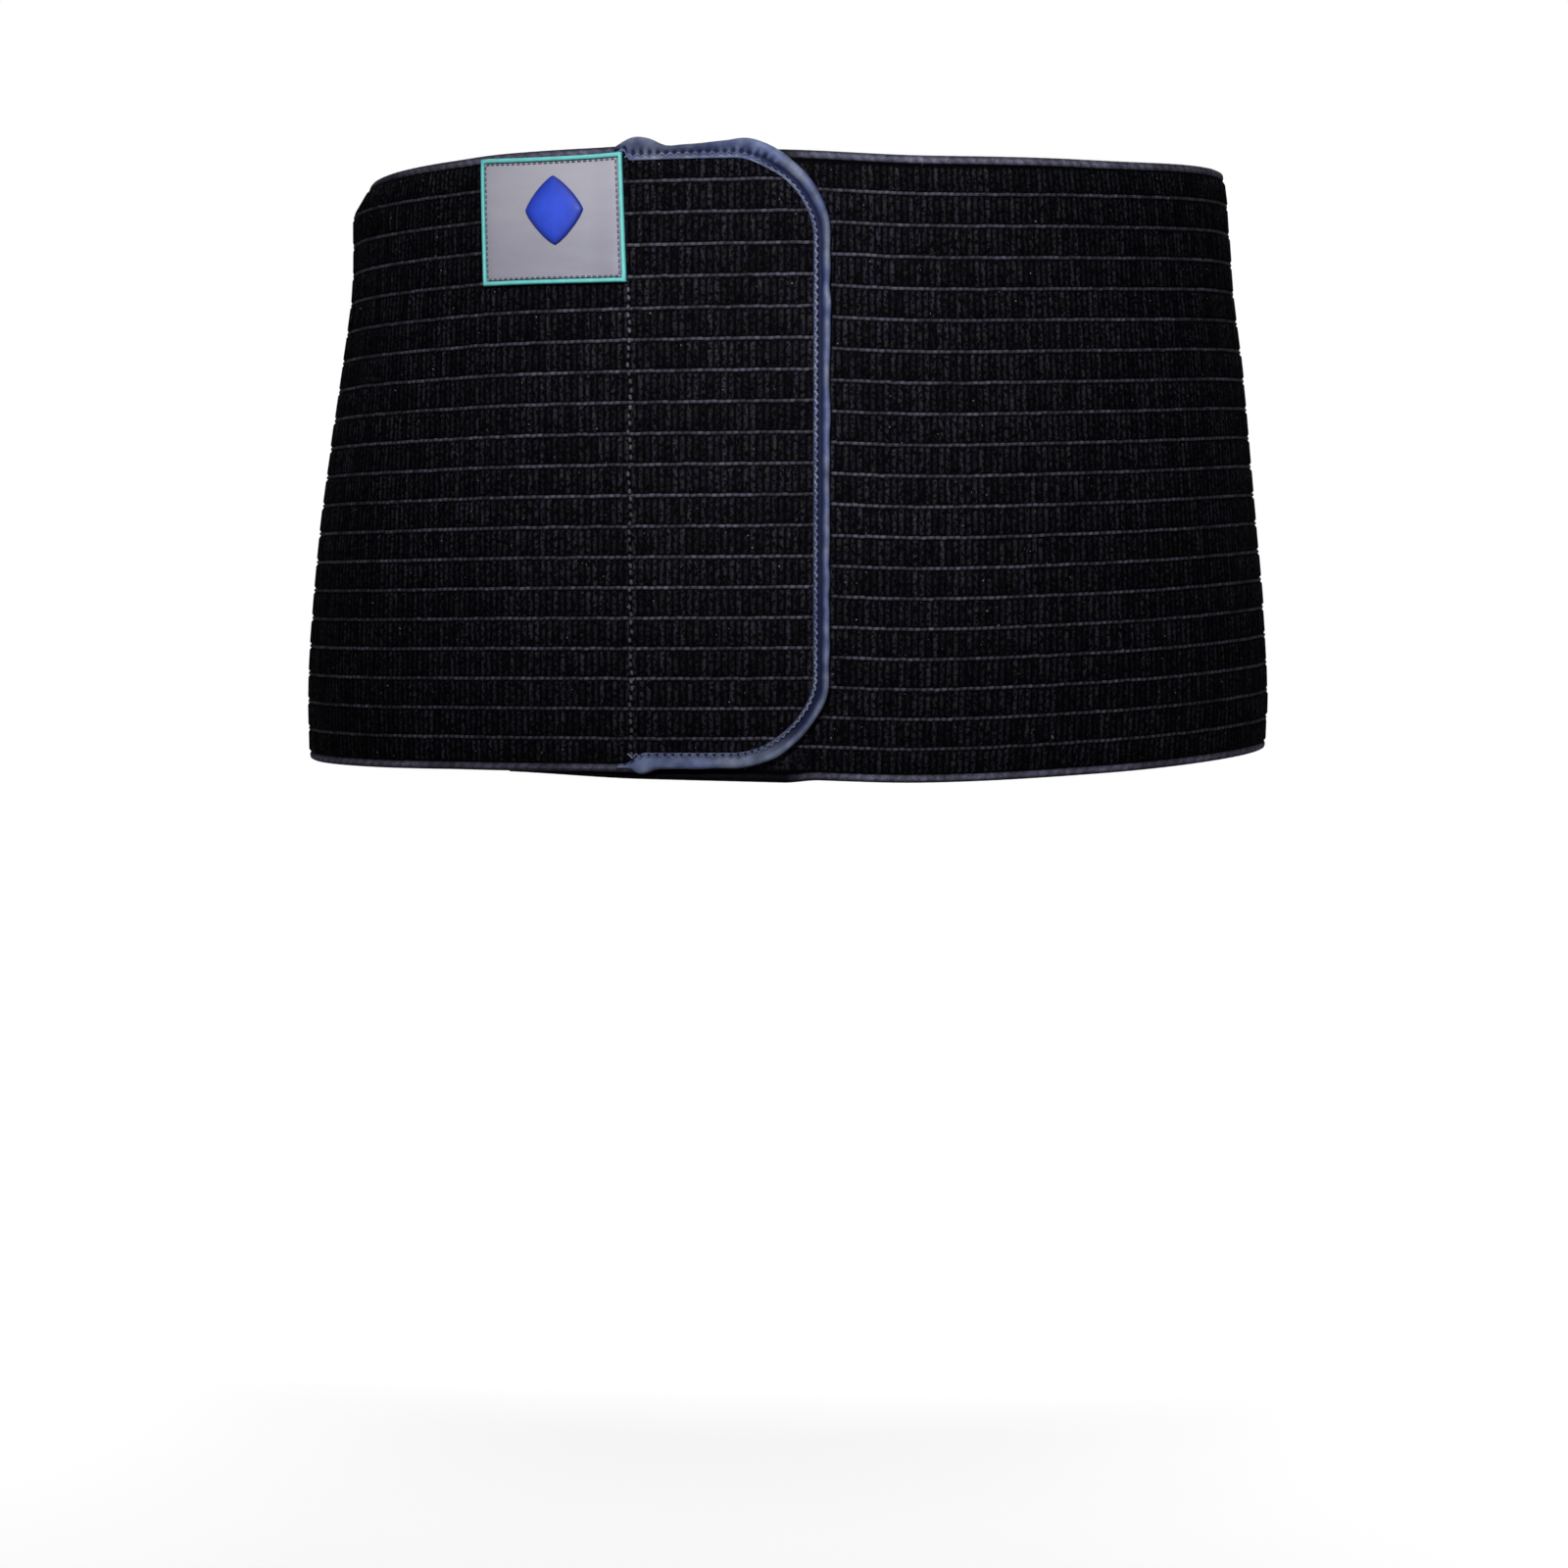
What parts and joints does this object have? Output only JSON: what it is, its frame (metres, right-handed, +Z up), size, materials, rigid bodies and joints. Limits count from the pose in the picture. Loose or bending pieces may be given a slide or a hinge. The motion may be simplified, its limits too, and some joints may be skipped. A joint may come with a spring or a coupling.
{
  "type": "hernia belt",
  "caption": "Wide ribbed elastic belt closed round the hips, its rounded flap bound with tape and lapped over the front beside a stitched label.",
  "frame": {"origin": "middle of the loop: on the wearer's axis, at half the belt's height", "axes": "+Z up along the wearer's axis, -Y to the belt's front, +X to the wearer's left, along the belt's width"},
  "size_m": [0.3447, 0.2471, 0.2087],
  "materials": {
    "ribbed_elastic": "black woven elastic with fine upright ribs between grey threads",
    "binding_tape": "steel-blue folded tape with a zigzag seam",
    "hook_tape": "black hook-and-loop tape, hooks to the body",
    "label_satin": "grey satin label cloth",
    "label_rim": "teal soft rubber rim",
    "emblem_rubber": "blue puffed rubber, slightly glossy"
  },
  "bodies": {
    "root": {"elastic_wrap": "ribbed_elastic", "edge_binding": "binding_tape", "hook_panel": "hook_tape", "label_plate": "label_satin", "label_border": "label_rim", "label_emblem": "emblem_rubber"}
  },
  "joints": []
}
